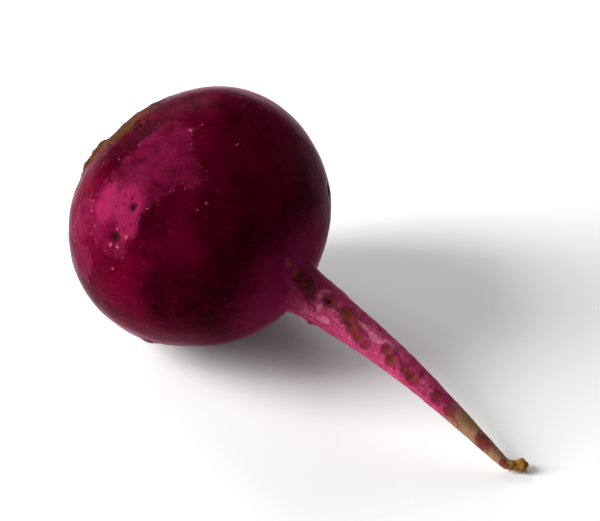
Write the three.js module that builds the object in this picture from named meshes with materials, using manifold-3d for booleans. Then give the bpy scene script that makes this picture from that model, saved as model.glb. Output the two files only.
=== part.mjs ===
import * as THREE from 'three';
import { mergeVertices } from 'three/addons/utils/BufferGeometryUtils.js';
import Module from 'manifold-3d';

// A beetroot lying on its side. The round bulb rests on a small flat spot, the tap root sags until
// its tip touches the same surface, and a low corky crown closes the end where the leaves grew.
// Millimetres, +Z up. The origin is the middle of the flat spot and the root runs toward +X.

// Bulb, measured from its centre along its own axis
const bulbRadius = 37.3;        // half the width across the axis
const crownReach = 31.1;        // centre to the crown end
const rootReach = 34.4;         // centre to where the bulb would close without its root
const crownFullness = 2.09;     // 2 is an ellipse, more is squarer
const rootFullness = 1.94;
const bulbFade = 2.5;           // how fast the bulb gives way to the root past where it would close
const crownLean = { up: -1.0, side: -3.8 };                    // where the crown sits off the axis
const rootSideLift = { below: 1.7, above: 0.6, at: 20, spread: 9 };  // the underside rises to the neck

// Crown: a low boss of trimmed leaf bases inside a shallow ring
const crownRise = 1.8;
const crownBossRadius = 5;
const crownEdgeRadius = 15;
const crownRing = { depth: 0.5, radius: 16.5, spread: 2.5 };

// Tap root
const tipReach = 113.4;         // bulb centre to the root's tip, along the bent axis
const neckRadius = 6;           // the root's radius where it leaves the bulb
const tipRadius = 0.9;
const neckBlend = 7.1;          // how softly the bulb runs into the root
const neckBlendStart = 8;
const neckBlendEnd = 26;
const knob = { rise: 0.75, setback: 1.4, spread: 1.3, length: 1.3 };  // blunt end of the root

// How the axis lies: its dip below level, then the small hook that lies along the surface
const dipAtBulb = 13.2;
const dipAtTip = 27.4;
const bendStart = 41.3;
const bendEnd = 95;
const hook = { start: 7.06, end: 4, turn: 38 };                // distances back from the tip

// Where the bulb's centre lies above the flat spot, and how far the spot is from under the centre
const bulbHeight = 35.78;
const spotOffset = { x: -3.1, y: 0 };

// Mesh fineness
const around = 44;
const crownRings = 20;
const rootSideRings = 17;
const rootSideSweep = 0.86;     // share of a quarter turn these rings cover
const rootRings = 24;
const hookRings = 14;
const hookStretch = 8;          // length of root with the closer rings
const hookCrowding = 1.3;       // above 1, the rings draw together toward the tip
const spineStep = 0.25;

const { degToRad, smoothstep, lerp } = THREE.MathUtils;
const bell = (distance, spread) => Math.exp(-((distance / spread) ** 2));

// Unit heading of the axis at a distance from the bulb's centre
function headingAt(distance) {
  const hooked = smoothstep(distance, tipReach - hook.start, tipReach - hook.end);
  const sagged = lerp(dipAtBulb, dipAtTip, smoothstep(distance, bendStart, bendEnd));
  const dip = degToRad(lerp(sagged, 0, hooked));
  const turn = degToRad(hook.turn * hooked);
  return new THREE.Vector3(
    Math.cos(dip) * Math.cos(turn),
    Math.cos(dip) * Math.sin(turn),
    -Math.sin(dip),
  );
}

// The bent axis: the heading summed in short steps, forward from the bulb's centre to the tip
function tracedAxis() {
  const points = [new THREE.Vector3(-spotOffset.x, -spotOffset.y, bulbHeight)];
  for (let distance = 0; distance < tipReach; distance += spineStep) {
    const step = headingAt(distance + spineStep / 2).multiplyScalar(spineStep);
    points.push(points[points.length - 1].clone().add(step));
  }
  return points;
}
const axisPoints = tracedAxis();

// A point on the axis; behind the bulb's centre the axis is straight
function axisAt(distance) {
  if (distance <= 0) return axisPoints[0].clone().addScaledVector(headingAt(distance), distance);
  const place = distance / spineStep;
  const index = Math.min(Math.floor(place), axisPoints.length - 2);
  return axisPoints[index].clone().lerp(axisPoints[index + 1], place - index);
}

// Radius of the bulb alone: half a superellipse each side of the centre
function bulbProfile(distance) {
  const reach = distance < 0 ? crownReach : rootReach;
  const fullness = distance < 0 ? crownFullness : rootFullness;
  const share = Math.min(Math.abs(distance) / reach, 1);
  if (distance > rootReach) return -bulbFade * (distance - rootReach);
  return bulbRadius * (1 - share ** fullness) ** (1 / fullness);
}

// Radius of the root alone: a straight taper to the knob, which closes in a round end
function rootProfile(distance) {
  return lerp(neckRadius, tipRadius, (distance - rootReach) / (tipReach - rootReach));
}

// Radius of the whole: the larger of the two, with the corner between them filled
function radiusAt(distance) {
  const bulb = bulbProfile(distance);
  if (distance < neckBlendStart) return bulb;
  const root = rootProfile(distance);
  const blend = neckBlend * smoothstep(distance, neckBlendStart, neckBlendEnd);
  const joined = (bulb + root + Math.hypot(bulb - root, blend)) / 2;
  const fromTip = distance - tipReach;
  const knobbed = joined + knob.rise * bell(fromTip + knob.setback, knob.spread);
  const closing = Math.max(fromTip + knob.length, 0) / knob.length;
  return knobbed * Math.sqrt(Math.max(1 - closing ** 2, 0));
}

// How far a point of the skin is moved off its round ring: the crown leans to one side, and the
// bulb is lifted toward the neck, more on the underside than on top
function ringShift(distance, turn) {
  const lean = distance < 0 ? (distance / crownReach) ** 2 : 0;
  const lift = lerp(rootSideLift.below, rootSideLift.above, (1 + Math.cos(turn)) / 2);
  return {
    up: crownLean.up * lean + lift * bell(distance - rootSideLift.at, rootSideLift.spread),
    side: crownLean.side * lean,
  };
}

// How far the crown end stands out or in, by distance from the middle of the crown
function crownRelief(radius) {
  const boss = crownRise * (1 - smoothstep(radius, crownBossRadius, crownEdgeRadius));
  return boss - crownRing.depth * bell(radius - crownRing.radius, crownRing.spread);
}

// Distances of the rings: even in angle over the bulb, close together again at the hook
function ringDistances() {
  const distances = [];
  for (let i = 1; i <= crownRings; i += 1) {
    distances.push(-crownReach * Math.cos((Math.PI / 2) * (i / crownRings)));
  }
  for (let i = 1; i <= rootSideRings; i += 1) {
    distances.push(rootReach * Math.sin((Math.PI / 2) * rootSideSweep * (i / rootSideRings)));
  }
  const neck = distances[distances.length - 1];
  const hookStart = tipReach - hookStretch;
  for (let i = 1; i <= rootRings; i += 1) distances.push(lerp(neck, hookStart, i / rootRings));
  for (let i = 1; i < hookRings; i += 1) {
    distances.push(tipReach - hookStretch * (1 - i / hookRings) ** hookCrowding);
  }
  return distances;
}

// Frame across the axis: "up" stands square to it in the upright plane, "side" lies level
function crossFrame(distance) {
  const heading = headingAt(distance);
  const side = new THREE.Vector3(-heading.y, heading.x, 0).normalize();
  return { heading, side, up: heading.clone().cross(side) };
}

// One point of the skin, at a distance along the axis and a turn round it
function skinPoint(distance, radius, turn) {
  const { heading, side, up } = crossFrame(distance);
  const shift = ringShift(distance, turn);
  const relief = distance < 0 ? crownRelief(radius) : 0;
  return axisAt(distance)
    .addScaledVector(up, shift.up + radius * Math.cos(turn))
    .addScaledVector(side, shift.side + radius * Math.sin(turn))
    .addScaledVector(heading, -relief);
}

// The closed skin: rings joined into a tube, and a single point at each end
function grownBody() {
  const distances = ringDistances();
  const positions = [];
  const faces = [];
  for (const distance of distances) {
    for (let j = 0; j < around; j += 1) {
      const turn = (2 * Math.PI * j) / around;
      positions.push(...skinPoint(distance, radiusAt(distance), turn).toArray());
    }
  }
  const crownPole = distances.length * around;
  positions.push(...skinPoint(-crownReach, 0, 0).toArray());
  const tipPole = crownPole + 1;
  positions.push(...skinPoint(tipReach, 0, 0).toArray());
  const lastRing = (distances.length - 1) * around;
  for (let j = 0; j < around; j += 1) {
    const next = (j + 1) % around;
    faces.push(crownPole, j, next);
    faces.push(tipPole, lastRing + next, lastRing + j);
    for (let ring = 0; ring < lastRing; ring += around) {
      faces.push(ring + j, ring + around + j, ring + next);
      faces.push(ring + next, ring + around + j, ring + around + next);
    }
  }
  const geometry = new THREE.BufferGeometry();
  geometry.setAttribute('position', new THREE.Float32BufferAttribute(positions, 3));
  geometry.setIndex(faces);
  return geometry;
}

const wasm = await Module();
wasm.setup();

function toSolid(geometry) {
  const bare = geometry.clone();
  bare.deleteAttribute('normal');
  bare.deleteAttribute('uv');
  const merged = mergeVertices(bare);
  return new wasm.Manifold(new wasm.Mesh({
    numProp: 3,
    vertProperties: new Float32Array(merged.attributes.position.array),
    triVerts: new Uint32Array(merged.index.array),
  }));
}

function toGeometry(solid) {
  const mesh = solid.getMesh();
  const geometry = new THREE.BufferGeometry();
  geometry.setAttribute('position', new THREE.BufferAttribute(mesh.vertProperties, 3));
  geometry.setIndex(new THREE.BufferAttribute(mesh.triVerts, 1));
  geometry.computeVertexNormals();
  return geometry;
}

// Everything below the resting surface is taken off, which leaves the flat spot under the bulb
const slabWidth = 400;
const slabDepth = 20;
const slab = new THREE.BoxGeometry(slabWidth, slabWidth, slabDepth).translate(0, 0, -slabDepth / 2);
const restedBody = toGeometry(toSolid(grownBody()).subtract(toSolid(slab)));

const skin = new THREE.MeshStandardMaterial({ color: 0x4a0018, roughness: 0.38, metalness: 0 });
const beetroot = new THREE.Mesh(restedBody, skin);
beetroot.name = 'beetroot';

const group = new THREE.Group();
group.add(beetroot);

export default group;
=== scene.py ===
import math
import bpy
import numpy as np
from mathutils import Matrix, Vector


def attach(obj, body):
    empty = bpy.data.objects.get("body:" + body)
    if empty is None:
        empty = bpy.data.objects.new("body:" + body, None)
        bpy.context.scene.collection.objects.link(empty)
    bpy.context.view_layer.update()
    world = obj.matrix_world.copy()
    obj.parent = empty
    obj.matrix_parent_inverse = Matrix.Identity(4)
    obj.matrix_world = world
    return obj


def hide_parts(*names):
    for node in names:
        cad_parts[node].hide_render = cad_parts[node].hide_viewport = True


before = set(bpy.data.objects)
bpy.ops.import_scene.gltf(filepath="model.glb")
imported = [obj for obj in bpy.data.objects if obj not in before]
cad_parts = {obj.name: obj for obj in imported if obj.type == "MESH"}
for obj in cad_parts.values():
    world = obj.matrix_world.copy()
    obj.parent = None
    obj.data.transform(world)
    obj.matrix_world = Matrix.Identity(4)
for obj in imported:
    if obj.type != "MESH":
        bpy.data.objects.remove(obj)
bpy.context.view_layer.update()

# What a user would change about the beetroot's form, in mm and degrees.
# Distances run along its axis from the bulb's centre: negative to the crown, positive to the root.
form = {
    "bulbRadius": 37.3,
    "crownReach": 31.1, "rootReach": 34.4,
    "crownFullness": 2.09, "rootFullness": 1.94,         # 2 is an ellipse
    "bulbFade": 2.5,                                     # how fast the bulb gives way to the root
    "crownLeanUp": -1.0, "crownLeanSide": -3.8,
    "liftBelow": 1.7, "liftAbove": 0.6, "liftAt": 20, "liftSpread": 9,
    "crownRise": 1.8, "bossRadius": 5, "bossEdge": 15,
    "tipReach": 113.4, "neckRadius": 6, "tipRadius": 0.9,
    "neckBlend": 7.1, "neckBlendStart": 8, "neckBlendEnd": 26,
    "knobRise": 0.75, "knobSetback": 1.4, "knobSpread": 1.3, "knobLength": 1.3,
    "dipAtBulb": 13.2, "dipAtTip": 27.4, "bendStart": 41.3, "bendEnd": 95,
    "hookStart": 7.06, "hookEnd": 4, "hookTurn": 38,
    "centreAlong": 3.1,                                  # the bulb's centre ahead of the flat spot
    "centreHeight": 35.78,
}

# How fine the mesh is: the bulb's grid and the root's grid meet in one stitched ring
fineness = {"bulbAround": 400, "bulbRings": 160, "rootAround": 100, "rootRings": 262, "seamAt": 35}

mm = 0.001


def smoothStep(x, low, high):
    # 3t^2 - 2t^3 with t the share of the way from low to high
    t = np.clip((x - low) / (high - low), 0, 1)
    return t * t * (3 - 2 * t)


def bell(x, spread):
    # exp of minus the square of x over spread
    return np.exp(-(x / spread) ** 2)


def unit(vectors):
    # each vector divided by its own length
    return vectors / np.maximum(np.linalg.norm(vectors, axis=-1, keepdims=True), 1e-12)


def headingAt(s):
    # direction of the axis: level turned down by the dip, and sideways by the turn in the hook
    f = form
    hooked = smoothStep(s, f["tipReach"] - f["hookStart"], f["tipReach"] - f["hookEnd"])
    sag = f["dipAtBulb"] + (f["dipAtTip"] - f["dipAtBulb"]) * smoothStep(s, f["bendStart"], f["bendEnd"])
    dip = np.radians(sag * (1 - hooked))
    turn = np.radians(f["hookTurn"] * hooked)
    return np.stack([np.cos(dip) * np.cos(turn), np.cos(dip) * np.sin(turn), -np.sin(dip)], axis=-1)


def axisAt(s):
    # the heading summed from the bulb's centre to s; behind the centre the axis is straight
    f = form
    stations = np.linspace(0, f["tipReach"], 4001)
    step = stations[1] - stations[0]
    sums = np.cumsum(headingAt(stations[:-1] + step / 2) * step, axis=0)
    start = np.array([f["centreAlong"], 0, f["centreHeight"]])
    path = start + np.vstack([np.zeros(3), sums])
    placed = np.stack([np.interp(s, stations, path[:, k]) for k in range(3)], axis=-1)
    return placed + np.minimum(s, 0)[..., None] * headingAt(np.zeros_like(s))


def radiusAt(s):
    # superellipse bulb and straight tapered root, the larger of the two with the corner filled
    f = form
    reach = np.where(s < 0, f["crownReach"], f["rootReach"])
    fullness = np.where(s < 0, f["crownFullness"], f["rootFullness"])
    share = np.minimum(np.abs(s) / reach, 1)
    bulb = f["bulbRadius"] * (1 - share ** fullness) ** (1 / fullness)
    bulb = np.where(s > f["rootReach"], -f["bulbFade"] * (s - f["rootReach"]), bulb)
    along = (s - f["rootReach"]) / (f["tipReach"] - f["rootReach"])
    root = f["neckRadius"] + (f["tipRadius"] - f["neckRadius"]) * along
    blend = f["neckBlend"] * smoothStep(s, f["neckBlendStart"], f["neckBlendEnd"])
    joined = np.where(s < f["neckBlendStart"], bulb, (bulb + root + np.hypot(bulb - root, blend)) / 2)
    fromTip = s - f["tipReach"]
    knobbed = joined + f["knobRise"] * bell(fromTip + f["knobSetback"], f["knobSpread"])
    closing = np.maximum(fromTip + f["knobLength"], 0) / f["knobLength"]
    return knobbed * np.sqrt(np.maximum(1 - closing ** 2, 0))


def crossFrame(s):
    # unit vectors across the axis: side is level, up stands square to it
    heading = headingAt(s)
    side = unit(np.stack([-heading[..., 1], heading[..., 0], 0 * heading[..., 0]], axis=-1))
    return heading, side, np.cross(heading, side)


def smoothSkin(s, turn):
    # axis point + radius * (cos(turn) up + sin(turn) side) + the lean, the lift and the crown's boss
    f = form
    heading, side, up = crossFrame(s)
    r = radiusAt(s)
    lean = np.where(s < 0, (s / f["crownReach"]) ** 2, 0)
    liftHere = f["liftBelow"] + (f["liftAbove"] - f["liftBelow"]) * (1 + np.cos(turn)) / 2
    u = f["crownLeanUp"] * lean + liftHere * bell(s - f["liftAt"], f["liftSpread"]) + r * np.cos(turn)
    v = f["crownLeanSide"] * lean + r * np.sin(turn)
    boss = np.where(s < 0, f["crownRise"] * (1 - smoothStep(r, f["bossRadius"], f["bossEdge"])), 0)
    return axisAt(s) + u[..., None] * up + v[..., None] * side - boss[..., None] * heading


def evenStations(low, high, count):
    # distances from low to high whose steps are equal along the skin's own profile
    dense = np.linspace(low, high, 6001)
    r = radiusAt(dense)
    travelled = np.concatenate([[0], np.cumsum(np.hypot(np.diff(dense), np.diff(r)))])
    return np.interp(np.linspace(0, travelled[-1], count), travelled, dense)


def waveNoise(points, size, seed, waves=36):
    # sum of sines along random directions, wavelengths near size, scaled to about -1..1
    rng = np.random.default_rng(seed)
    directions = unit(rng.normal(size=(waves, 3)))
    lengths = size * rng.uniform(0.7, 1.5, waves)
    phases = rng.uniform(0, 2 * math.pi, waves)
    angle = 2 * math.pi * (points @ directions.T) / lengths + phases
    return np.sin(angle).sum(axis=-1) / math.sqrt(2 * waves)


# Marks in the skin. at: mm along the axis and degrees round it (0 on top, minus to the front).
# size: mm along and mm round. height: mm out of the skin, minus for a pit.
marks = [
    {"kind": "pit", "at": (-2.7, -51.5), "size": (0.9, 1.3), "height": -0.9},
    {"kind": "pit", "at": (-5.2, -52.5), "size": (0.4, 0.5), "height": -0.35},
    {"kind": "pit", "at": (-4.3, -49.0), "size": (0.4, 0.4), "height": -0.3},
    {"kind": "pit", "at": (-6.4, -49.5), "size": (0.35, 0.5), "height": -0.3},
    {"kind": "nub", "at": (-3.6, -70.5), "size": (0.6, 0.6), "height": 0.7},
    {"kind": "nub", "at": (-1.5, -69.5), "size": (0.5, 0.6), "height": 0.6},
    {"kind": "nub", "at": (-0.3, -63.5), "size": (0.5, 0.7), "height": 0.55},
    {"kind": "nub", "at": (-3.8, -63.0), "size": (0.4, 0.5), "height": 0.4},
    {"kind": "nub", "at": (-0.6, -79.5), "size": (0.5, 0.5), "height": 0.5},
    {"kind": "nub", "at": (-3.4, -12.5), "size": (0.6, 0.6), "height": 0.6},
    {"kind": "nub", "at": (-2.6, -10.4), "size": (0.25, 0.5), "height": 0.25},
    {"kind": "nub", "at": (-2.3, -7.4), "size": (0.25, 0.4), "height": 0.25},
    {"kind": "nub", "at": (12.4, -33.5), "size": (0.5, 0.5), "height": 0.3},
    {"kind": "nub", "at": (11.4, -38.0), "size": (0.3, 0.5), "height": 0.2},
    {"kind": "nub", "at": (8.0, -4.5), "size": (0.3, 0.8), "height": 0.15},
    {"kind": "pit", "at": (-3.2, -66.5), "size": (1.3, 1.4), "height": -0.6},
    {"kind": "pit", "at": (25.1, 54.5), "size": (1.2, 0.9), "height": -0.9},
    {"kind": "scab", "at": (8.5, -131.0), "size": (1.6, 2.6), "height": 0.5},
    {"kind": "scab", "at": (43.5, -114.0), "size": (1.1, 0.7), "height": 0.7},
    {"kind": "pit", "at": (45.6, -21.5), "size": (0.6, 0.5), "height": -0.5},
    {"kind": "pit", "at": (0.6, -30.0), "size": (0.5, 0.6), "height": -0.25},
    {"kind": "pit", "at": (2.5, -29.0), "size": (0.5, 0.4), "height": -0.2},
    {"kind": "pit", "at": (-0.2, -32.5), "size": (0.4, 0.4), "height": -0.15},
    {"kind": "pit", "at": (60.3, 13.5), "size": (0.35, 0.3), "height": -0.2},
    {"kind": "pit", "at": (62.7, 37.0), "size": (0.35, 0.3), "height": -0.2},
    {"kind": "nub", "at": (4.3, -63.5), "size": (1.1, 0.25), "height": 0.25},
    {"kind": "nub", "at": (3.7, -80.0), "size": (0.3, 0.3), "height": 0.2},
    {"kind": "nub", "at": (-7.5, -97.0), "size": (0.35, 0.35), "height": 0.3},
    {"kind": "nub", "at": (-14.0, 96.0), "size": (0.6, 0.6), "height": 0.5},
    {"kind": "nub", "at": (4.0, 121.0), "size": (0.5, 0.8), "height": 0.5},
    {"kind": "pit", "at": (2.0, 118.0), "size": (1.0, 1.2), "height": -0.5},
    {"kind": "pit", "at": (12.0, 80.0), "size": (0.7, 0.9), "height": -0.6},
    {"kind": "nub", "at": (16.0, 152.0), "size": (0.5, 0.7), "height": 0.4},
]

# Brown corky patches on the root, where side roots broke off
patches = [
    {"at": (32.6, -24), "size": (2.4, 1.2), "strength": 0.9},
    {"at": (34.8, -22), "size": (2.2, 1.5), "strength": 1.0},
    {"at": (37.8, -25), "size": (2.4, 2.0), "strength": 1.0},
    {"at": (40.6, -42), "size": (2.0, 1.7), "strength": 0.7},
    {"at": (42.6, -62), "size": (1.6, 1.3), "strength": 0.5},
    {"at": (45.8, -23), "size": (1.9, 1.6), "strength": 1.1},
    {"at": (48.6, -26), "size": (1.6, 0.8), "strength": 0.8},
    {"at": (51.4, -21), "size": (2.2, 2.0), "strength": 1.3},
    {"at": (53.2, -33), "size": (1.6, 1.3), "strength": 1.2},
    {"at": (54.8, -45), "size": (2.0, 1.6), "strength": 1.2},
    {"at": (57.4, -57), "size": (2.0, 1.4), "strength": 1.2},
    {"at": (60.0, -69), "size": (1.4, 1.0), "strength": 0.9},
    {"at": (65.0, -31), "size": (1.5, 1.4), "strength": 1.1},
    {"at": (67.7, -49), "size": (1.7, 1.5), "strength": 1.2},
    {"at": (72.0, -42), "size": (1.7, 1.3), "strength": 1.0},
    {"at": (74.4, -49), "size": (1.6, 1.5), "strength": 1.2},
    {"at": (75.8, -3), "size": (1.6, 1.1), "strength": 0.5},
    {"at": (82.7, -42), "size": (1.8, 1.4), "strength": 1.0},
    {"at": (87.8, -51), "size": (1.9, 1.4), "strength": 1.05},
    {"at": (99.3, -40), "size": (2.2, 1.7), "strength": 1.1},
    {"at": (106.7, -52), "size": (0.9, 0.8), "strength": 1.2},
    {"at": (48.0, 95), "size": (2.4, 1.8), "strength": 1.0},
    {"at": (51.5, 112), "size": (1.8, 1.5), "strength": 0.9},
    {"at": (58.0, 128), "size": (2.0, 1.7), "strength": 0.9},
    {"at": (66.0, 62), "size": (1.6, 1.3), "strength": 0.8},
    {"at": (71.0, 150), "size": (1.8, 1.5), "strength": 1.0},
    {"at": (79.0, 140), "size": (1.7, 1.3), "strength": 1.0},
    {"at": (91.0, 100), "size": (1.8, 1.2), "strength": 0.9},
]

# Pale pink rims and veins where the root's skin has healed over
paleVeins = [
    {"at": (42.6, -20), "size": (0.8, 1.6)},
    {"at": (43.2, -4), "size": (0.9, 0.8)},
    {"at": (44.4, -50), "size": (0.8, 1.3)},
    {"at": (47.3, -72), "size": (1.5, 0.8)},
    {"at": (49.6, -33), "size": (2.6, 0.4)},
    {"at": (56.4, -17), "size": (2.6, 0.6)},
    {"at": (60.6, -22), "size": (2.6, 1.1)},
    {"at": (64.2, -6), "size": (1.8, 0.7)},
    {"at": (52.0, 100), "size": (0.9, 1.6)},
    {"at": (62.0, 132), "size": (2.6, 0.8)},
]

# Painted light on the bulb, by kind: pinker scuffed skin that carries a painted highlight, the painted
# highlight's palest core, and a dull plum band painted as the far shoulder's reflection of the pale
# surroundings
paintedLightPlaces = [
    {"kind": "blushAndHighlight", "at": (-8.0, -58.0), "size": (7.5, 10.5)},
    {"kind": "blushAndHighlight", "at": (-6.5, -42.0), "size": (8.5, 9.0)},
    {"kind": "blushAndHighlight", "at": (-6.0, -25.0), "size": (7.5, 9.0)},
    {"kind": "blushAndHighlight", "at": (3.0, -27.5), "size": (6.5, 4.0)},
    {"kind": "blushAndHighlight", "at": (-3.5, -69.0), "size": (5.0, 4.5)},
    {"kind": "blushAndHighlight", "at": (-16.0, -74.0), "size": (4.5, 8.0)},
    {"kind": "blushAndHighlight", "at": (-11.5, -90.0), "size": (4.5, 7.0)},
    {"kind": "blushAndHighlight", "at": (-0.5, -36.0), "size": (4.5, 5.5)},
    {"kind": "paintedHighlight", "at": (-4.5, -52.0), "size": (5, 6)},
    {"kind": "paintedHighlight", "at": (-10.5, -57.0), "size": (3.5, 6.5)},
    {"kind": "paintedHighlight", "at": (-1.5, -60.0), "size": (3.5, 4)},
    {"kind": "paintedReflection", "at": (-4.0, 30.0), "size": (5, 4.5)},
    {"kind": "paintedReflection", "at": (3.0, 34.0), "size": (5.5, 6)},
    {"kind": "paintedReflection", "at": (10.0, 38.0), "size": (6, 7)},
    {"kind": "paintedReflection", "at": (17.5, 39.0), "size": (6, 7)},
    {"kind": "paintedReflection", "at": (24.0, 38.0), "size": (5.5, 7)},
    {"kind": "paintedReflection", "at": (29.5, 36.0), "size": (3.5, 6)},
    {"kind": "blushAndHighlight", "at": (-7.0, 118.0), "size": (10, 15)},
    {"kind": "blushAndHighlight", "at": (8.0, 96.0), "size": (6, 7)},
    {"kind": "blushAndHighlight", "at": (2.0, -158.0), "size": (7, 12)},
]

# Trimmed leaf bases on the crown: they follow the growth spiral outward from its middle
leafBases = {"count": 21, "spacing": 2.05, "goldenTurn": 137.5, "size": 1.7, "height": 1.5, "hollow": 0.45}


def markDistance(points, at, size):
    # elliptical distance from a mark's centre, measured in the skin's tangent plane there
    s = np.array(float(at[0]))
    turn = np.array(math.radians(at[1]))
    small = 0.05
    centre = smoothSkin(s, turn)
    alongDir = unit(smoothSkin(s + small, turn) - centre)
    roundDir = smoothSkin(s, turn + 0.01) - centre
    roundDir = unit(roundDir - (roundDir @ alongDir) * alongDir)
    offset = points - centre
    a = offset @ alongDir
    b = offset @ roundDir
    depth = offset @ np.cross(alongDir, roundDir)
    return np.sqrt((a / size[0]) ** 2 + (b / size[1]) ** 2 + (depth / (3 * max(size))) ** 2)


def leafBaseForm(r, turn):
    # flat-topped mounds and the hollow in each, 0 to 1, at spacing * sqrt(k) and k golden turns round
    b = leafBases
    across = r * np.cos(turn)
    beside = r * np.sin(turn)
    mounds = np.zeros_like(r)
    hollows = np.zeros_like(r)
    for k in range(b["count"]):
        away = b["spacing"] * math.sqrt(k + 0.3)
        angle = math.radians(b["goldenTurn"] * k)
        x = across - away * math.cos(angle)
        y = beside - away * math.sin(angle)
        outward = x * math.cos(angle) + y * math.sin(angle)
        sideways = y * math.cos(angle) - x * math.sin(angle)
        size = b["size"] * (0.75 + 0.06 * k ** 0.8)
        d = np.sqrt((outward / size) ** 2 + (sideways / (1.35 * size)) ** 2)
        mounds = np.maximum(mounds, (1.15 - 0.035 * k) * (1 - smoothStep(d, 0.6, 1.1)))
        hollows = np.maximum(hollows, bell(d, 0.45))
    return mounds, hollows


def leafBaseRelief(r, turn, points):
    # mound height less hollow depth, plus a fine roughness that dies out past the leaf bases
    mounds, hollows = leafBaseForm(r, turn)
    rough = 0.16 * waveNoise(points, 1.6, 21) * (1 - smoothStep(r, 12, 18))
    return leafBases["height"] * mounds - leafBases["hollow"] * hollows + rough


def corkyEdge(turn):
    # how far the corky crown reaches from the axis, wider on its upper side
    wrapped = np.mod(turn + math.radians(12) + math.pi, 2 * math.pi) - math.pi
    return 18 + 16 * bell(wrapped, 0.7) + 0.7 * np.sin(3 * turn + 1) + 0.4 * np.sin(7 * turn)


def skinMasks(s, turn, points):
    # where each finish lies, 0 to 1, before the material roughens the edges
    r = radiusAt(s)
    masks = {kind: np.zeros_like(s) for kind in ("pit", "nub", "scab", "blushAndHighlight", "paintedHighlight", "paintedReflection", "vein")}
    for mark in marks:
        d = markDistance(points, mark["at"], mark["size"])
        masks[mark["kind"]] = np.maximum(masks[mark["kind"]], bell(d, 1.25))
    for patch in patches:
        d = markDistance(points, patch["at"], patch["size"])
        masks["scab"] = np.maximum(masks["scab"], patch["strength"] * bell(d, 1.1))
    for place in paintedLightPlaces:
        d = markDistance(points, place["at"], place["size"])
        masks[place["kind"]] = np.maximum(masks[place["kind"]], 1 - smoothStep(d, 0.45, 1.55))
    for vein in paleVeins:
        masks["vein"] = np.maximum(masks["vein"], bell(markDistance(points, vein["at"], vein["size"]), 1.2))
    edge = corkyEdge(turn)
    masks["corky"] = np.where(s < 0, 1 - smoothStep(r, edge - 10, edge + 3), 0)
    masks["rings"] = 0.5 + 0.5 * np.sin(2 * math.pi * r / 2.4 + 1.8 * waveNoise(points, 6, 13))
    mounds, hollows = leafBaseForm(r, turn)
    masks["stub"] = np.where(s < 0, np.minimum(mounds, 1), 0)
    masks["stubHollow"] = np.where(s < 0, hollows * np.minimum(mounds, 1), 0)
    masks["along"] = s
    return masks


def skinRelief(s, turn, points):
    # mm that each point stands out of the smooth skin
    r = radiusAt(s)
    onRoot = smoothStep(s, 33, 42)
    nearTip = smoothStep(s, form["tipReach"] - 8, form["tipReach"] - 5)
    onCrown = np.where(s < 0, 1 - smoothStep(r, corkyEdge(turn) - 4, corkyEdge(turn) + 2), 0)
    relief = (1 - onRoot) * (0.22 * waveNoise(points, 26, 3) + 0.05 * waveNoise(points, 7, 4))
    relief += (1 - onRoot) * 0.018 * waveNoise(points, 2.4, 5)
    # faint rings round the shoulder, close together toward the crown
    rings = np.sin(2 * math.pi * s / 1.9 + 2.2 * waveNoise(points, 14, 6))
    relief += 0.035 * rings * (1 - smoothStep(s, -24, -12))
    # the root: lengthwise cords, cross wrinkles, and low swellings
    unbent = np.stack([s / 5, r * np.cos(turn), r * np.sin(turn)], axis=-1)
    cords = waveNoise(unbent, 2.1, 7)
    squeezed = np.stack([2.4 * s, r * np.cos(turn), r * np.sin(turn)], axis=-1)
    wrinkles = waveNoise(squeezed, 5.5, 8)
    slow = waveNoise(points, 9, 9)
    girth = np.minimum(r / 5, 1)
    relief += onRoot * girth * (0.09 * cords + 0.08 * wrinkles + 0.2 * slow)
    relief += nearTip * 0.22 * waveNoise(points, 1.5, 10)
    # crown: cork grain, trimmed leaf bases
    relief += onCrown * (0.13 * waveNoise(points, 2.2, 11) + 0.12 * waveNoise(points, 5, 12))
    relief += np.where(s < 0, leafBaseRelief(r, turn, points), 0)
    for mark in marks:
        relief += mark["height"] * bell(markDistance(points, mark["at"], mark["size"]), 1.0)
    for patch in patches:
        d = markDistance(points, patch["at"], patch["size"])
        rim = 0.7 * bell(d - 1.15, 0.35) - 0.9 * bell(d, 0.8)
        relief += 0.22 * patch["strength"] * rim * np.minimum(r / 4, 1)
    return relief


def beetGrid(stations, around):
    # every distance paired with every turn
    s, turn = np.meshgrid(stations, np.arange(around) * 2 * math.pi / around, indexing="ij")
    return s.ravel(), turn.ravel()


def skinNormals(s, turn):
    # cross product of the two ways across the smooth skin, turned to face away from the axis
    small = 0.02
    low = smoothSkin(np.maximum(s - small, -form["crownReach"] + 1e-4), turn)
    high = smoothSkin(np.minimum(s + small, form["tipReach"] - 1e-4), turn)
    wide = smoothSkin(s, turn + 0.002) - smoothSkin(s, turn - 0.002)
    normal = unit(np.cross(high - low, wide))
    away = smoothSkin(s, turn) - axisAt(s)
    facing = np.sign((normal * away).sum(axis=-1, keepdims=True))
    return normal * np.where(facing == 0, 1, facing)


def ringFaces(rings, around, start):
    # quads between each ring and the next, wrapped round
    ring, step = np.meshgrid(np.arange(rings - 1), np.arange(around), indexing="ij")
    nextStep = (step + 1) % around
    a = start + ring * around + step
    b = start + ring * around + nextStep
    return np.stack([a, a + around, b + around, b], axis=-1).reshape(-1, 4)


def stitchFaces(fine, coarse, fineStart, coarseStart):
    # the fine ring's every vertex joins the coarse vertex behind it; one more triangle closes each step
    ratio = fine // coarse
    j = np.arange(fine)
    behind = ((j + ratio // 2) // ratio) % coarse
    first = np.stack([fineStart + j, coarseStart + behind, fineStart + (j + 1) % fine], axis=-1)
    k = np.arange(coarse)
    turning = (k * ratio + ratio // 2) % fine
    second = np.stack([fineStart + turning, coarseStart + k, coarseStart + (k + 1) % coarse], axis=-1)
    return first, second


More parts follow.
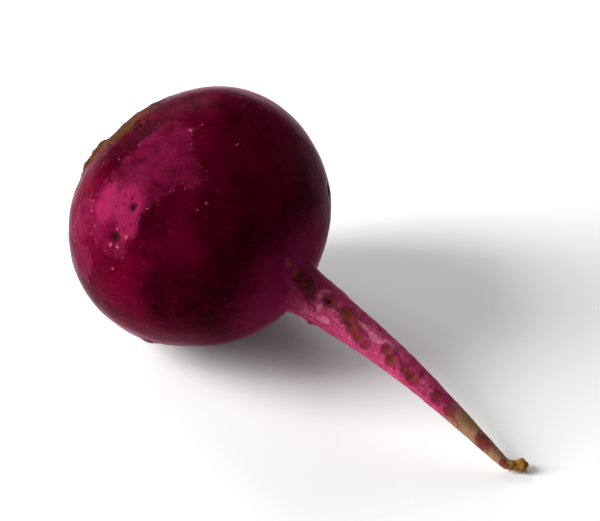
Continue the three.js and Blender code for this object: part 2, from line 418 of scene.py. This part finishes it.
def poleFaces(pole, ringStart, around, outwardFirst):
    # a fan of triangles from the pole to each side of its ring
    j = np.arange(around)
    k = (j + 1) % around
    a, b = (j, k) if outwardFirst else (k, j)
    return np.stack([np.full(around, pole), ringStart + a, ringStart + b], axis=-1)


def makeBeetroot():
    # smooth skin + relief along its normal, on a bulb grid and a root grid, closed by two poles
    g = fineness
    bulbStations = evenStations(-form["crownReach"], g["seamAt"], g["bulbRings"] + 1)[1:]
    rootStations = evenStations(g["seamAt"], form["tipReach"], g["rootRings"] + 2)[1:-1]
    bulbS, bulbTurn = beetGrid(bulbStations, g["bulbAround"])
    rootS, rootTurn = beetGrid(rootStations, g["rootAround"])
    poleS = np.array([-form["crownReach"] + 1e-3, form["tipReach"] - 1e-3])
    s = np.concatenate([bulbS, rootS, poleS])
    turn = np.concatenate([bulbTurn, rootTurn, np.zeros(2)])
    smooth = smoothSkin(s, turn)
    normal = skinNormals(s, turn)
    normal[-2] = -headingAt(poleS[:1])[0]
    normal[-1] = headingAt(poleS[1:])[0]
    points = smooth + normal * skinRelief(s, turn, smooth)[:, None]
    points[:, 2] = np.maximum(points[:, 2], 0)          # flat where it lies on the surface
    rootStart = len(bulbS)
    crownPole = len(s) - 2
    tipPole = len(s) - 1
    lastBulbRing = rootStart - g["bulbAround"]
    lastRootRing = crownPole - g["rootAround"]
    fineSide, coarseSide = stitchFaces(g["bulbAround"], g["rootAround"], lastBulbRing, rootStart)
    triangles = np.vstack([
        fineSide, coarseSide,
        poleFaces(crownPole, 0, g["bulbAround"], True),
        poleFaces(tipPole, lastRootRing, g["rootAround"], False),
    ])
    quads = np.vstack([
        ringFaces(g["bulbRings"], g["bulbAround"], 0),
        ringFaces(g["rootRings"], g["rootAround"], rootStart),
    ])
    mesh = bpy.data.meshes.new("beetroot_skin")
    mesh.from_pydata((points * mm).tolist(), [], triangles.tolist() + quads.tolist())
    mesh.validate()
    mesh.shade_smooth()
    for name, values in skinMasks(s, turn, smooth).items():
        mesh.attributes.new(name, "FLOAT", "POINT").data.foreach_set("value", values.astype(np.float32))
    r = radiusAt(s)
    unbent = np.stack([s, r * np.cos(turn), r * np.sin(turn)], axis=-1).astype(np.float32)
    mesh.attributes.new("unbent", "FLOAT_VECTOR", "POINT").data.foreach_set("vector", unbent.ravel())
    piece = bpy.data.objects.new("beetroot_body", mesh)
    bpy.context.scene.collection.objects.link(piece)
    print("beetroot mesh:", len(s), "points,", len(triangles) + 2 * len(quads), "triangles")
    return piece



# Colours are linear. Sizes are mm.
skinFinish = {
    "deep": (0.026, 0.0001, 0.0032), "wine": (0.080, 0.0003, 0.0105),
    # next line: the painted highlight's colours, over pinker scuffed skin and at its palest core
    "blushAndHighlight": (0.135, 0.0055, 0.034), "paintedHighlight": (0.190, 0.0080, 0.046),
    # next line: the painted reflection's plum, a pale scratch colour that also paints streaks in that
    # reflection, and the painted glints' pale pink
    "paintedReflection": (0.078, 0.0055, 0.029), "paleScratchStreak": (0.20, 0.030, 0.085), "paintedGlint": (0.42, 0.14, 0.26),
    "rootPink": (0.36, 0.032, 0.095), "rootPale": (0.47, 0.10, 0.19), "rootPurple": (0.14, 0.008, 0.045),
    "neck": (0.14, 0.005, 0.038), "veinPink": (0.58, 0.16, 0.25),
    "tan": (0.29, 0.16, 0.085), "tanPale": (0.34, 0.20, 0.115), "tanDark": (0.16, 0.055, 0.035),
    "tipBrown": (0.21, 0.095, 0.020),
    "scabRed": (0.185, 0.029, 0.016), "scabOlive": (0.060, 0.022, 0.008),
    "corkDark": (0.026, 0.013, 0.002), "corkTan": (0.115, 0.064, 0.013), "corkBrown": (0.052, 0.017, 0.006),
    "corkRed": (0.075, 0.010, 0.009),
    "stubRed": (0.13, 0.016, 0.022), "stubDry": (0.24, 0.145, 0.075),
    # next line: pink of the raised nubs, partly painted glints, and the dark of the pits
    "nubGlintPink": (0.32, 0.075, 0.080), "pitDark": (0.020, 0.004, 0.002),
    "ior": 1.3, "specularLevel": 0.01, "specularTint": (1.0, 0.25, 0.5), "sheenTint": (0.95, 0.30, 0.60),
    "roughness": 0.25, "sheen": 0.32, "sheenRoughness": 0.22, "bumpHeight": 0.07,
}


# places shader nodes in one tree with short calls
class nodeDesk:
    def __init__(self, tree):
        self.tree = tree

    def add(self, kind, inputs=(), **settings):
        node = self.tree.nodes.new(kind)
        for name, value in settings.items():
            setattr(node, name, value)
        for key, value in dict(inputs).items():
            self.feed(node.inputs[key], value)
        return node

    def feed(self, socket, value):
        if isinstance(value, bpy.types.NodeSocket):
            self.tree.links.new(value, socket)
        else:
            socket.default_value = value

    def math(self, operation, a, b=0.0, clamp=False):
        node = self.add("ShaderNodeMath", operation=operation, use_clamp=clamp)
        self.feed(node.inputs[0], a)
        self.feed(node.inputs[1], b)
        return node.outputs[0]

    def step(self, value, low, high):
        # 0 below low, 1 above high, smooth between
        node = self.add("ShaderNodeMapRange", {"Value": value, "From Min": low, "From Max": high},
                        interpolation_type="SMOOTHSTEP")
        return node.outputs["Result"]

    def mix(self, share, a, b):
        node = self.add("ShaderNodeMix", data_type="RGBA")
        self.feed(node.inputs[0], share)
        self.feed(node.inputs[6], a if isinstance(a, bpy.types.NodeSocket) else (*a, 1))
        self.feed(node.inputs[7], b if isinstance(b, bpy.types.NodeSocket) else (*b, 1))
        return node.outputs[2]

    def noise(self, place, size, detail=3.0, roughness=0.55, distortion=0.0):
        # place is in mm, size is the width of a feature in mm
        node = self.add("ShaderNodeTexNoise", {
            "Vector": place, "Scale": 1 / size, "Detail": detail,
            "Roughness": roughness, "Distortion": distortion})
        return node.outputs["Fac"]

    def scaled(self, vector, factors):
        node = self.add("ShaderNodeVectorMath", operation="MULTIPLY")
        self.feed(node.inputs[0], vector)
        node.inputs[1].default_value = factors
        return node.outputs[0]

    def attribute(self, name, output="Fac"):
        return self.add("ShaderNodeAttribute", attribute_name=name).outputs[output]


def beetSkin():
    f = skinFinish
    material = bpy.data.materials.new("beetSkin")
    material.use_nodes = True
    tree = material.node_tree
    tree.nodes.clear()
    n = nodeDesk(tree)
    place = n.scaled(n.add("ShaderNodeTexCoord").outputs["Object"], (1000, 1000, 1000))
    unbent = n.attribute("unbent", "Vector")
    along = n.attribute("along")
    streaked = n.scaled(unbent, (0.3, 1, 1))

    # bulb: deep maroon mottled with wine, then pinker patches of thinner, scuffed skin painted with the key
    # light's highlight, painted glints on their border, a painted reflection band on the far shoulder, dark
    # specks and pale scratches
    mottle = n.noise(place, 24, 4, 0.5)
    fineMottle = n.noise(place, 5, 5, 0.6, 0.4)
    depth = n.step(n.math("ADD", mottle, n.math("MULTIPLY", fineMottle, 0.25)), 0.50, 0.78)
    bulb = n.mix(depth, f["deep"], f["wine"])
    torn = n.math("MULTIPLY", n.math("SUBTRACT", n.noise(place, 1.6, 8, 0.8, 0.7), 0.5), 2.2)
    torn = n.math("ADD", torn, n.math("MULTIPLY", n.math("SUBTRACT", fineMottle, 0.5), 0.9))
    # painted highlight: pinker scuffed skin where the key light's highlight is painted into the colour
    blushAndHighlight = n.step(n.math("ADD", n.attribute("blushAndHighlight"), torn), 0.44, 0.72)
    strength = n.math("MULTIPLY", blushAndHighlight, n.step(n.noise(place, 6, 5, 0.65, 0.5), 0.18, 0.80))
    bulb = n.mix(strength, bulb, f["blushAndHighlight"])
    # painted glints: pale flecks along the ragged border of the painted highlight
    border = n.math("MULTIPLY", n.step(blushAndHighlight, 0.05, 0.4), n.math("SUBTRACT", 1.0, n.step(blushAndHighlight, 0.5, 0.95)))
    glintFlecks = n.step(n.noise(n.scaled(unbent, (1, 0.6, 0.6)), 0.5, 3, 0.7, 0.6), 0.58, 0.68)
    bulb = n.mix(n.math("MULTIPLY", border, glintFlecks), bulb, f["paintedGlint"])
    # painted highlight: the palest core of the key light's highlight
    paintedHighlight = n.step(n.math("ADD", n.attribute("paintedHighlight"), n.math("MULTIPLY", torn, 0.5)), 0.25, 1.1)
    bulb = n.mix(paintedHighlight, bulb, f["paintedHighlight"])
    # painted reflection: a dull plum band on the far shoulder stands in for the pale surroundings reflected
    # there
    paintedReflection = n.step(n.math("ADD", n.attribute("paintedReflection"), n.math("MULTIPLY", torn, 0.4)), 0.25, 0.8)
    bulb = n.mix(n.math("MULTIPLY", paintedReflection, 0.75), bulb, f["paintedReflection"])
    darkSpecks = n.step(n.noise(place, 1.5, 6, 0.75, 0.5), 0.51, 0.66)
    darkSpecks = n.math("MULTIPLY", darkSpecks, n.step(n.noise(place, 6, 4, 0.6), 0.38, 0.58))
    bulb = n.mix(n.math("MULTIPLY", darkSpecks, 0.75), bulb, f["wine"])
    # pale scratches on worn skin; across the plum band they are painted streaks in the painted reflection
    streaksAndScratches = n.step(n.noise(n.scaled(unbent, (0.22, 1, 1)), 0.55, 4, 0.6, 0.6), 0.60, 0.70)
    wearAndReflectionBand = n.math("MAXIMUM", n.math("MULTIPLY", paintedReflection, 0.8), n.step(n.noise(place, 7, 5, 0.7), 0.50, 0.66))
    streaksAndScratches = n.math("MULTIPLY", streaksAndScratches, wearAndReflectionBand)
    bulb = n.mix(n.math("MULTIPLY", streaksAndScratches, 0.5), bulb, f["paleScratchStreak"])

    # root: pink with pale mottles and fine fibres, and purple streaks
    pale = n.step(n.noise(n.scaled(unbent, (0.55, 1, 1)), 2.2, 7, 0.75, 0.9), 0.44, 0.64)
    fibres = n.step(n.noise(n.scaled(unbent, (0.12, 1, 1)), 0.55, 5, 0.7, 0.4), 0.55, 0.68)
    purple = n.step(n.noise(streaked, 3.0, 5, 0.62, 0.5), 0.50, 0.68)
    root = n.mix(n.math("MULTIPLY", pale, 0.75), f["rootPink"], f["rootPale"])
    root = n.mix(n.math("MULTIPLY", fibres, 0.45), root, f["rootPale"])
    root = n.mix(n.math("MULTIPLY", purple, 0.6), root, f["rootPurple"])
    veinNoise = n.math("MULTIPLY", n.math("SUBTRACT", n.noise(streaked, 0.7, 5, 0.7), 0.5), 1.2)
    vein = n.step(n.math("ADD", n.attribute("vein"), veinNoise), 0.35, 0.75)
    root = n.mix(n.math("MULTIPLY", vein, 0.8), root, f["veinPink"])
    freckles = n.step(n.noise(place, 0.7, 3, 0.75), 0.50, 0.64)
    root = n.mix(n.math("MULTIPLY", freckles, 0.55), root, f["rootPurple"])

    wander = n.math("SUBTRACT", n.noise(place, 3.5, 5, 0.65), 0.5)
    colour = n.mix(n.step(n.math("ADD", along, n.math("MULTIPLY", wander, 5)), 26, 35), bulb, f["neck"])
    colour = n.mix(n.step(n.math("ADD", along, n.math("MULTIPLY", wander, 9)), 33, 42), colour, root)
    tan = n.mix(n.math("MULTIPLY", fibres, 0.35), f["tan"], f["tanPale"])
    tan = n.mix(n.math("MULTIPLY", freckles, 0.5), tan, f["tanDark"])
    colour = n.mix(n.step(n.math("ADD", along, n.math("MULTIPLY", wander, 14)), 85.0, 89.5), colour, tan)
    tipNoise = n.math("MULTIPLY", n.math("SUBTRACT", n.noise(place, 1.2, 4), 0.5), 3)
    colour = n.mix(n.step(n.math("ADD", along, tipNoise), 106.5, 109), colour, f["tipBrown"])

    # brown scabs with ragged edges
    ragged = n.math("MULTIPLY", n.math("SUBTRACT", n.noise(place, 1.5, 7, 0.75, 0.8), 0.5), 2.2)
    scabby = n.math("ADD", n.attribute("scab"), ragged)
    colour = n.mix(n.math("MULTIPLY", n.step(scabby, 0.2, 0.45), 0.6), colour, f["rootPurple"])
    scab = n.step(scabby, 0.42, 0.75)
    scabColour = n.mix(n.step(n.noise(place, 0.9, 6, 0.75), 0.42, 0.68), f["scabRed"], f["scabOlive"])
    colour = n.mix(n.math("MULTIPLY", scab, 0.8), colour, scabColour)

    # corky crown
    corkEdge = n.math("MULTIPLY", n.math("SUBTRACT", n.noise(place, 2.8, 8, 0.75, 0.5), 0.5), 2.3)
    cork = n.step(n.math("ADD", n.attribute("corky"), corkEdge), 0.38, 0.62)
    corkColour = n.mix(n.step(n.noise(place, 1.3, 6, 0.7), 0.45, 0.72), f["corkDark"], f["corkTan"])
    corkColour = n.mix(n.step(n.noise(place, 7, 4, 0.6), 0.42, 0.62), corkColour, f["corkBrown"])
    ringBroken = n.step(n.noise(place, 4, 4), 0.4, 0.6)
    ringed = n.math("MULTIPLY", n.step(n.attribute("rings"), 0.55, 0.9), ringBroken)
    corkColour = n.mix(n.math("MULTIPLY", ringed, 0.75), corkColour, f["corkRed"])
    colour = n.mix(n.math("MULTIPLY", cork, 0.94), colour, corkColour)
    stubNoise = n.math("MULTIPLY", n.math("SUBTRACT", n.noise(place, 0.9, 4, 0.7), 0.5), 0.8)
    stub = n.step(n.math("ADD", n.attribute("stub"), stubNoise), 0.3, 0.8)
    colour = n.mix(n.math("MULTIPLY", stub, 0.8), colour, f["stubRed"])
    dry = n.step(n.math("ADD", n.attribute("stubHollow"), stubNoise), 0.4, 0.9)
    colour = n.mix(n.math("MULTIPLY", dry, 0.85), colour, f["stubDry"])

    # pits, and raised nubs whose pale pink is partly painted glints
    speckle = n.math("MULTIPLY", n.math("SUBTRACT", n.noise(place, 0.5, 3), 0.5), 0.5)
    pit = n.step(n.math("ADD", n.attribute("pit"), speckle), 0.35, 0.75)
    nub = n.step(n.math("ADD", n.attribute("nub"), speckle), 0.38, 0.75)
    colour = n.mix(n.math("MULTIPLY", pit, 0.9), colour, f["pitDark"])
    colour = n.mix(n.math("MULTIPLY", nub, 0.7), colour, f["nubGlintPink"])

    # roughness: waxy skin with scuffs, dull cork
    scuff = n.step(n.noise(n.scaled(unbent, (0.45, 1, 1)), 0.9, 6, 0.7, 0.5), 0.50, 0.72)
    scuff = n.math("MULTIPLY", scuff, n.step(n.noise(place, 9, 4, 0.6), 0.48, 0.62))
    dull = n.math("MAXIMUM", cork, scab)
    rough = n.math("ADD", f["roughness"], n.math("MULTIPLY", scuff, 0.22))
    rough = n.math("ADD", rough, n.math("MULTIPLY", n.step(along, 32, 44), 0.12))
    rough = n.math("ADD", rough, n.math("MULTIPLY", dull, 0.4), clamp=True)

    # fine bump: orange-peel, scuffs and cork grain
    peel = n.noise(place, 1.1, 4, 0.6)
    grain = n.noise(place, 0.35, 3, 0.6)
    height = n.math("ADD", n.math("MULTIPLY", peel, 0.55), n.math("MULTIPLY", scuff, -0.35))
    height = n.math("ADD", height, n.math("MULTIPLY", grain, 0.12))
    height = n.math("ADD", height, n.math("MULTIPLY", n.math("MULTIPLY", grain, dull), 1.2))
    bump = n.add("ShaderNodeBump", {"Height": height, "Distance": f["bumpHeight"] * mm, "Strength": 1.0})

    shader = n.add("ShaderNodeBsdfPrincipled", {
        "Base Color": colour, "Roughness": rough, "Normal": bump.outputs["Normal"],
        "IOR": f["ior"], "Specular IOR Level": f["specularLevel"],
        "Specular Tint": (*f["specularTint"], 1), "Sheen Weight": f["sheen"],
        "Sheen Roughness": f["sheenRoughness"], "Sheen Tint": (*f["sheenTint"], 1)})
    output = n.add("ShaderNodeOutputMaterial")
    tree.links.new(shader.outputs[0], output.inputs["Surface"])
    return material



# Degrees and mm. The view looks at a point beside the bulb, so the root runs down to the right.
cameraPlace = {
    "azimuth": 37.06, "elevation": 40, "lens": 120, "viewWidth": 164.2, "right": 27.3, "down": 12.0,
}

stagePlace = {
    "floorSize": 6000, "floorColour": (0.86, 0.86, 0.85),
    "worldColour": (1.0, 0.93, 0.98), "world": 0.14,
}

# Soft lights: direction from the bulb in camera terms (right, up, toward the camera), mm away,
# width and height in mm, power in W
lights = {
    "keyLight": {"from": (-0.88, 0.30, 0.36), "away": 900, "size": (420, 700), "power": 19.0},
    "topLight": {"from": (-0.35, 0.92, -0.25), "away": 700, "size": (600, 400), "power": 4.2},
    "rimLight": {"from": (0.90, 0.30, -0.42), "away": 500, "size": (260, 520), "power": 0.7},
}


def viewFrame():
    # right, up and back of a view at the azimuth and elevation: back points to the camera
    a = math.radians(cameraPlace["azimuth"])
    e = math.radians(cameraPlace["elevation"])
    back = Vector((math.sin(a) * math.cos(e), -math.cos(a) * math.cos(e), math.sin(e)))
    right = Vector((math.cos(a), math.sin(a), 0))
    return right, back.cross(right), back


def bulbCentre():
    return Vector((form["centreAlong"], 0, form["centreHeight"])) * mm


def makeCamera():
    # back from the bulb by view width * lens / sensor width, then moved aside and down
    c = cameraPlace
    right, up, back = viewFrame()
    data = bpy.data.cameras.new("camera")
    data.lens = c["lens"]
    distance = c["viewWidth"] * c["lens"] / data.sensor_width
    camera = bpy.data.objects.new("camera", data)
    place = bulbCentre() + (back * distance + right * c["right"] - up * c["down"]) * mm
    camera.matrix_world = Matrix((right, up, back)).transposed().to_4x4()
    camera.location = place
    data.clip_start = 0.01
    data.clip_end = 20
    bpy.context.scene.collection.objects.link(camera)
    bpy.context.scene.camera = camera


def makeLight(name, values):
    # a soft panel facing the bulb from its direction
    right, up, back = viewFrame()
    x, y, z = values["from"]
    direction = (right * x + up * y + back * z).normalized()
    data = bpy.data.lights.new(name, "AREA")
    data.shape = "RECTANGLE"
    data.size = values["size"][0] * mm
    data.size_y = values["size"][1] * mm
    data.energy = values["power"]
    light = bpy.data.objects.new(name, data)
    light.location = bulbCentre() + direction * values["away"] * mm
    light.rotation_euler = direction.to_track_quat("Z", "Y").to_euler()
    bpy.context.scene.collection.objects.link(light)


def paleFloor():
    material = bpy.data.materials.new("paleFloor")
    material.use_nodes = True
    shader = material.node_tree.nodes["Principled BSDF"]
    shader.inputs["Base Color"].default_value = (*stagePlace["floorColour"], 1)
    shader.inputs["Roughness"].default_value = 0.9
    shader.inputs["Specular IOR Level"].default_value = 0.1
    return material


def makeFloor():
    half = stagePlace["floorSize"] / 2 * mm
    corners = [(-half, -half, 0), (half, -half, 0), (half, half, 0), (-half, half, 0)]
    mesh = bpy.data.meshes.new("floor")
    mesh.from_pydata(corners, [], [(0, 1, 2, 3)])
    mesh.materials.append(paleFloor())
    floor = bpy.data.objects.new("floor", mesh)
    bpy.context.scene.collection.objects.link(floor)


def makeWorld():
    world = bpy.data.worlds.new("studio")
    world.use_nodes = True
    background = world.node_tree.nodes["Background"]
    background.inputs["Color"].default_value = (*stagePlace["worldColour"], 1)
    background.inputs["Strength"].default_value = stagePlace["world"]
    bpy.context.scene.world = world


makeCamera()
makeWorld()
makeFloor()
for lightName, lightValues in lights.items():
    makeLight(lightName, lightValues)
bpy.context.scene.view_settings.view_transform = "Standard"
print("stage made")

beetroot = makeBeetroot()
beetroot.data.materials.append(beetSkin())
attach(beetroot, "root")
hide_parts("beetroot")
print("beetroot finished")
